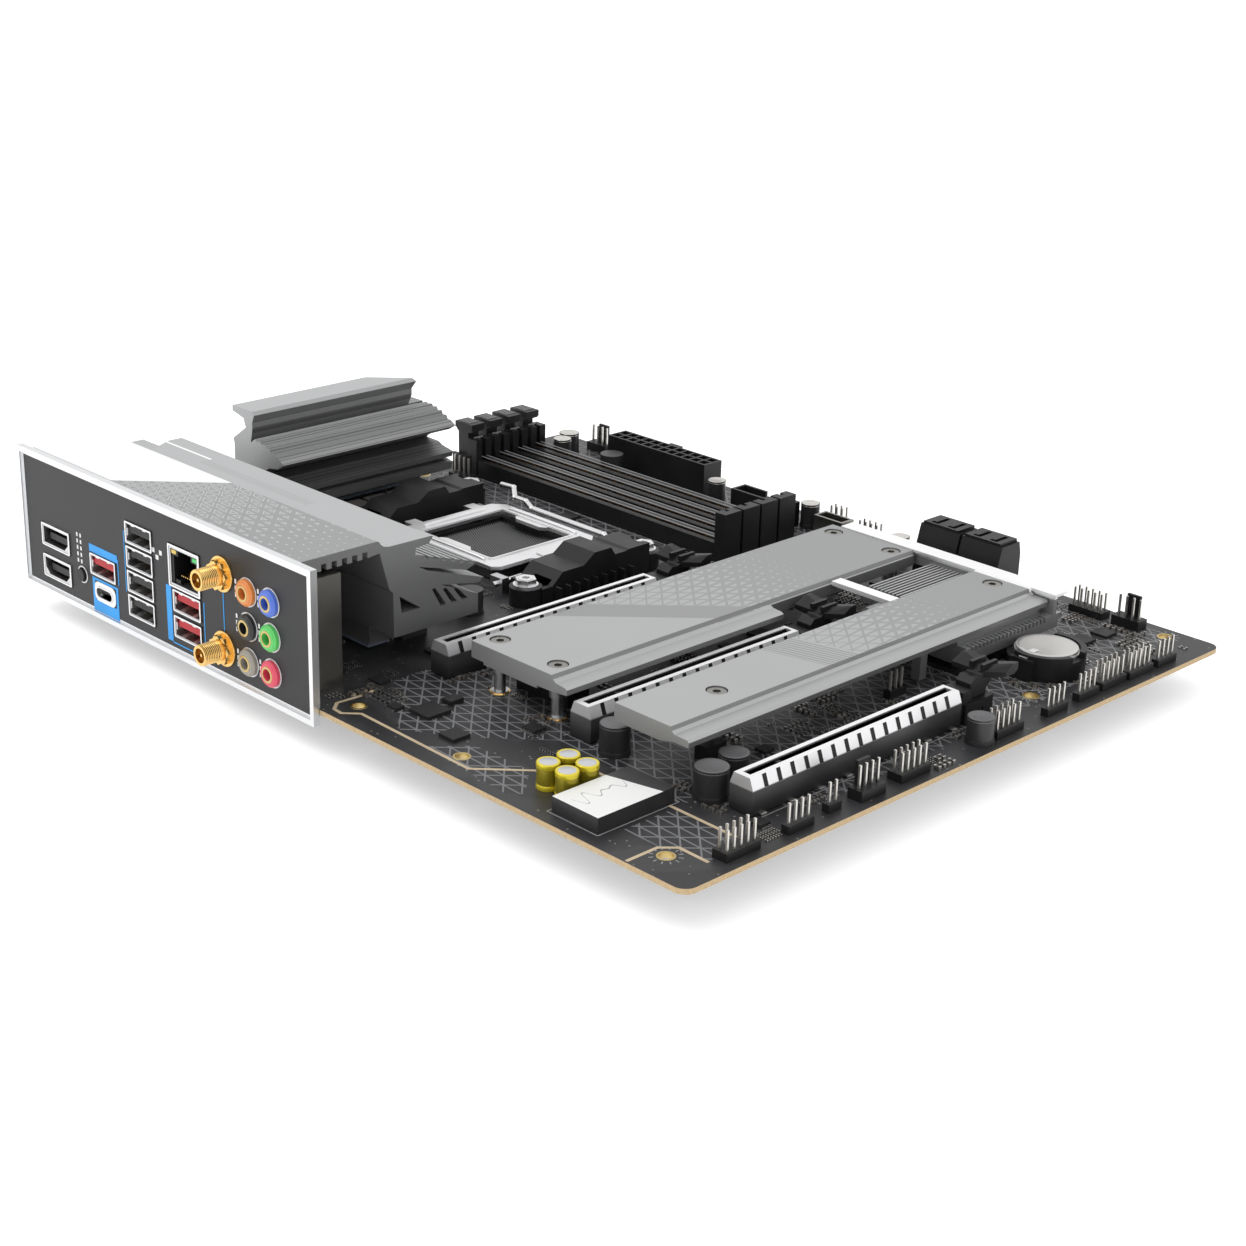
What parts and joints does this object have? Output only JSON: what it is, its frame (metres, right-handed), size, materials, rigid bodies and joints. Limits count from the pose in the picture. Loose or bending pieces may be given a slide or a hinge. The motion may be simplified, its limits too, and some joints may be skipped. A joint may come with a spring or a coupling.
{
  "type": "computer motherboard",
  "caption": "Full-size desktop computer mainboard with rear port plate, finned heatsinks, processor socket, memory slots and armoured expansion slots.",
  "frame": {"origin": "centre of the four outer mounting holes, on the underside of the board", "axes": "+X from the rear port edge to the front edge, +Y from the expansion slot edge to the processor edge, +Z out of the component side"},
  "size_m": [0.2543, 0.3048, 0.0478],
  "materials": {
    "pcb": "satin solder mask",
    "io_plate": "dark satin face in a bright frame",
    "io_heatsink": "bead-blasted",
    "top_heatsink": "bead-blasted",
    "heatsink_pads": "soft thermal pad",
    "power_chokes": "pressed powder",
    "power_stages": "moulded",
    "socket_housing": "moulded",
    "socket_base": "plain",
    "socket_load_frame": "bright plated",
    "socket_lever": "plated wire",
    "cooler_brackets": "moulded",
    "bracket_screws": "plated",
    "socket_backplate": "dark plated",
    "memory_slot_1": "moulded",
    "memory_slot_2": "moulded",
    "memory_slot_3": "moulded",
    "memory_slot_4": "moulded",
    "memory_latch_1": "moulded",
    "memory_latch_2": "moulded",
    "memory_latch_3": "moulded",
    "memory_latch_4": "moulded",
    "pcie_slot_1": "moulded",
    "pcie_slot_2": "moulded",
    "pcie_slot_3": "moulded",
    "pcie_shield_1": "bright plated",
    "pcie_shield_2": "bright plated",
    "pcie_shield_3": "bright plated",
    "pcie_latch_1": "moulded",
    "pcie_latch_2": "moulded",
    "pcie_latch_3": "moulded",
    "m2_heatsink": "bead-blasted with printed lattice",
    "chipset_heatsink": "bead-blasted with printed lattice",
    "heatsink_screws": "dark",
    "heatsink_standoffs": "turned",
    "m2_sockets": "moulded",
    "chipset": "package",
    "battery_holder": "moulded",
    "coin_cell": "satin steel",
    "atx_power_connector": "moulded",
    "cpu_power_connectors": "moulded",
    "sata_ports": "moulded",
    "usb3_header": "moulded",
    "usb_c_header": "plated shell",
    "pin_header_bases": "moulded",
    "header_pins": "tinned",
    "fan_headers": "moulded",
    "black_capacitors": "dark coated can",
    "audio_capacitors": "gold-coloured can",
    "audio_shield": "white",
    "display_ports": "plated shell",
    "usb_c_stack": "plated shell",
    "usb2_stack": "plated shell",
    "usb_pair_stack": "plated shell",
    "network_port": "plated shell",
    "antenna_connectors": "gold plated",
    "audio_jack_block": "plated shell",
    "audio_jacks": "coloured by socket",
    "controller_chips": "package",
    "update_button": "moulded"
  },
  "bodies": {
    "board": {"pcb": "pcb", "io_plate": "io_plate", "io_heatsink": "io_heatsink", "top_heatsink": "top_heatsink", "heatsink_pads": "heatsink_pads", "power_chokes": "power_chokes", "power_stages": "power_stages", "socket_housing": "socket_housing", "socket_base": "socket_base", "cooler_brackets": "cooler_brackets", "bracket_screws": "bracket_screws", "socket_backplate": "socket_backplate", "memory_slot_1": "memory_slot_1", "memory_slot_2": "memory_slot_2", "memory_slot_3": "memory_slot_3", "memory_slot_4": "memory_slot_4", "pcie_slot_1": "pcie_slot_1", "pcie_slot_2": "pcie_slot_2", "pcie_slot_3": "pcie_slot_3", "pcie_shield_1": "pcie_shield_1", "pcie_shield_2": "pcie_shield_2", "pcie_shield_3": "pcie_shield_3", "m2_heatsink": "m2_heatsink", "chipset_heatsink": "chipset_heatsink", "heatsink_screws": "heatsink_screws", "heatsink_standoffs": "heatsink_standoffs", "m2_sockets": "m2_sockets", "chipset": "chipset", "battery_holder": "battery_holder", "coin_cell": "coin_cell", "atx_power_connector": "atx_power_connector", "cpu_power_connectors": "cpu_power_connectors", "sata_ports": "sata_ports", "usb3_header": "usb3_header", "usb_c_header": "usb_c_header", "pin_header_bases": "pin_header_bases", "header_pins": "header_pins", "fan_headers": "fan_headers", "black_capacitors": "black_capacitors", "audio_capacitors": "audio_capacitors", "audio_shield": "audio_shield", "display_ports": "display_ports", "usb_c_stack": "usb_c_stack", "usb2_stack": "usb2_stack", "usb_pair_stack": "usb_pair_stack", "network_port": "network_port", "antenna_connectors": "antenna_connectors", "audio_jack_block": "audio_jack_block", "audio_jacks": "audio_jacks", "controller_chips": "controller_chips"},
    "update_button_body": {"update_button": "update_button"},
    "socket_load_frame_body": {"socket_load_frame": "socket_load_frame"},
    "socket_lever_body": {"socket_lever": "socket_lever"},
    "memory_latch_1_body": {"memory_latch_1": "memory_latch_1"},
    "memory_latch_2_body": {"memory_latch_2": "memory_latch_2"},
    "memory_latch_3_body": {"memory_latch_3": "memory_latch_3"},
    "memory_latch_4_body": {"memory_latch_4": "memory_latch_4"},
    "pcie_latch_1_body": {"pcie_latch_1": "pcie_latch_1"},
    "pcie_latch_2_body": {"pcie_latch_2": "pcie_latch_2"},
    "pcie_latch_3_body": {"pcie_latch_3": "pcie_latch_3"}
  },
  "joints": [
    {"name": "button_press", "type": "slide", "parent": "board", "child": "update_button_body", "axis": [1, 0, 0], "range_m": [0, 0.0008], "stiffness_N_per_m": 300},
    {"name": "load_frame_hinge", "type": "hinge", "parent": "board", "child": "socket_load_frame_body", "pos_m": [0.00387, 0.08552, 0.0056], "axis": [-1, 0, 0], "range_deg": [0, 110]},
    {"name": "lever_hinge", "type": "hinge", "parent": "board", "child": "socket_lever_body", "pos_m": [0.00387, 0.02612, 0.0052], "axis": [1, 0, 0], "range_deg": [0, 110]},
    {"name": "memory_latch_1_hinge", "type": "hinge", "parent": "board", "child": "memory_latch_1_body", "pos_m": [0.05867, 0.13472, 0.0046], "axis": [-1, 0, 0], "range_deg": [0, 30]},
    {"name": "memory_latch_2_hinge", "type": "hinge", "parent": "board", "child": "memory_latch_2_body", "pos_m": [0.06803, 0.13472, 0.0046], "axis": [-1, 0, 0], "range_deg": [0, 30]},
    {"name": "memory_latch_3_hinge", "type": "hinge", "parent": "board", "child": "memory_latch_3_body", "pos_m": [0.07737, 0.13472, 0.0046], "axis": [-1, 0, 0], "range_deg": [0, 30]},
    {"name": "memory_latch_4_hinge", "type": "hinge", "parent": "board", "child": "memory_latch_4_body", "pos_m": [0.08672, 0.13472, 0.0046], "axis": [-1, 0, 0], "range_deg": [0, 30]},
    {"name": "pcie_latch_1_hinge", "type": "hinge", "parent": "board", "child": "pcie_latch_1_body", "pos_m": [0.01578, -0.01496, 0.0046], "axis": [0, 1, 0], "range_deg": [0, 15], "stiffness_Nm_per_rad": 0.05},
    {"name": "pcie_latch_2_hinge", "type": "hinge", "parent": "board", "child": "pcie_latch_2_body", "pos_m": [0.01578, -0.07592, 0.0046], "axis": [0, 1, 0], "range_deg": [0, 15], "stiffness_Nm_per_rad": 0.05},
    {"name": "pcie_latch_3_hinge", "type": "hinge", "parent": "board", "child": "pcie_latch_3_body", "pos_m": [0.01578, -0.13688, 0.0046], "axis": [0, 1, 0], "range_deg": [0, 15], "stiffness_Nm_per_rad": 0.05}
  ]
}
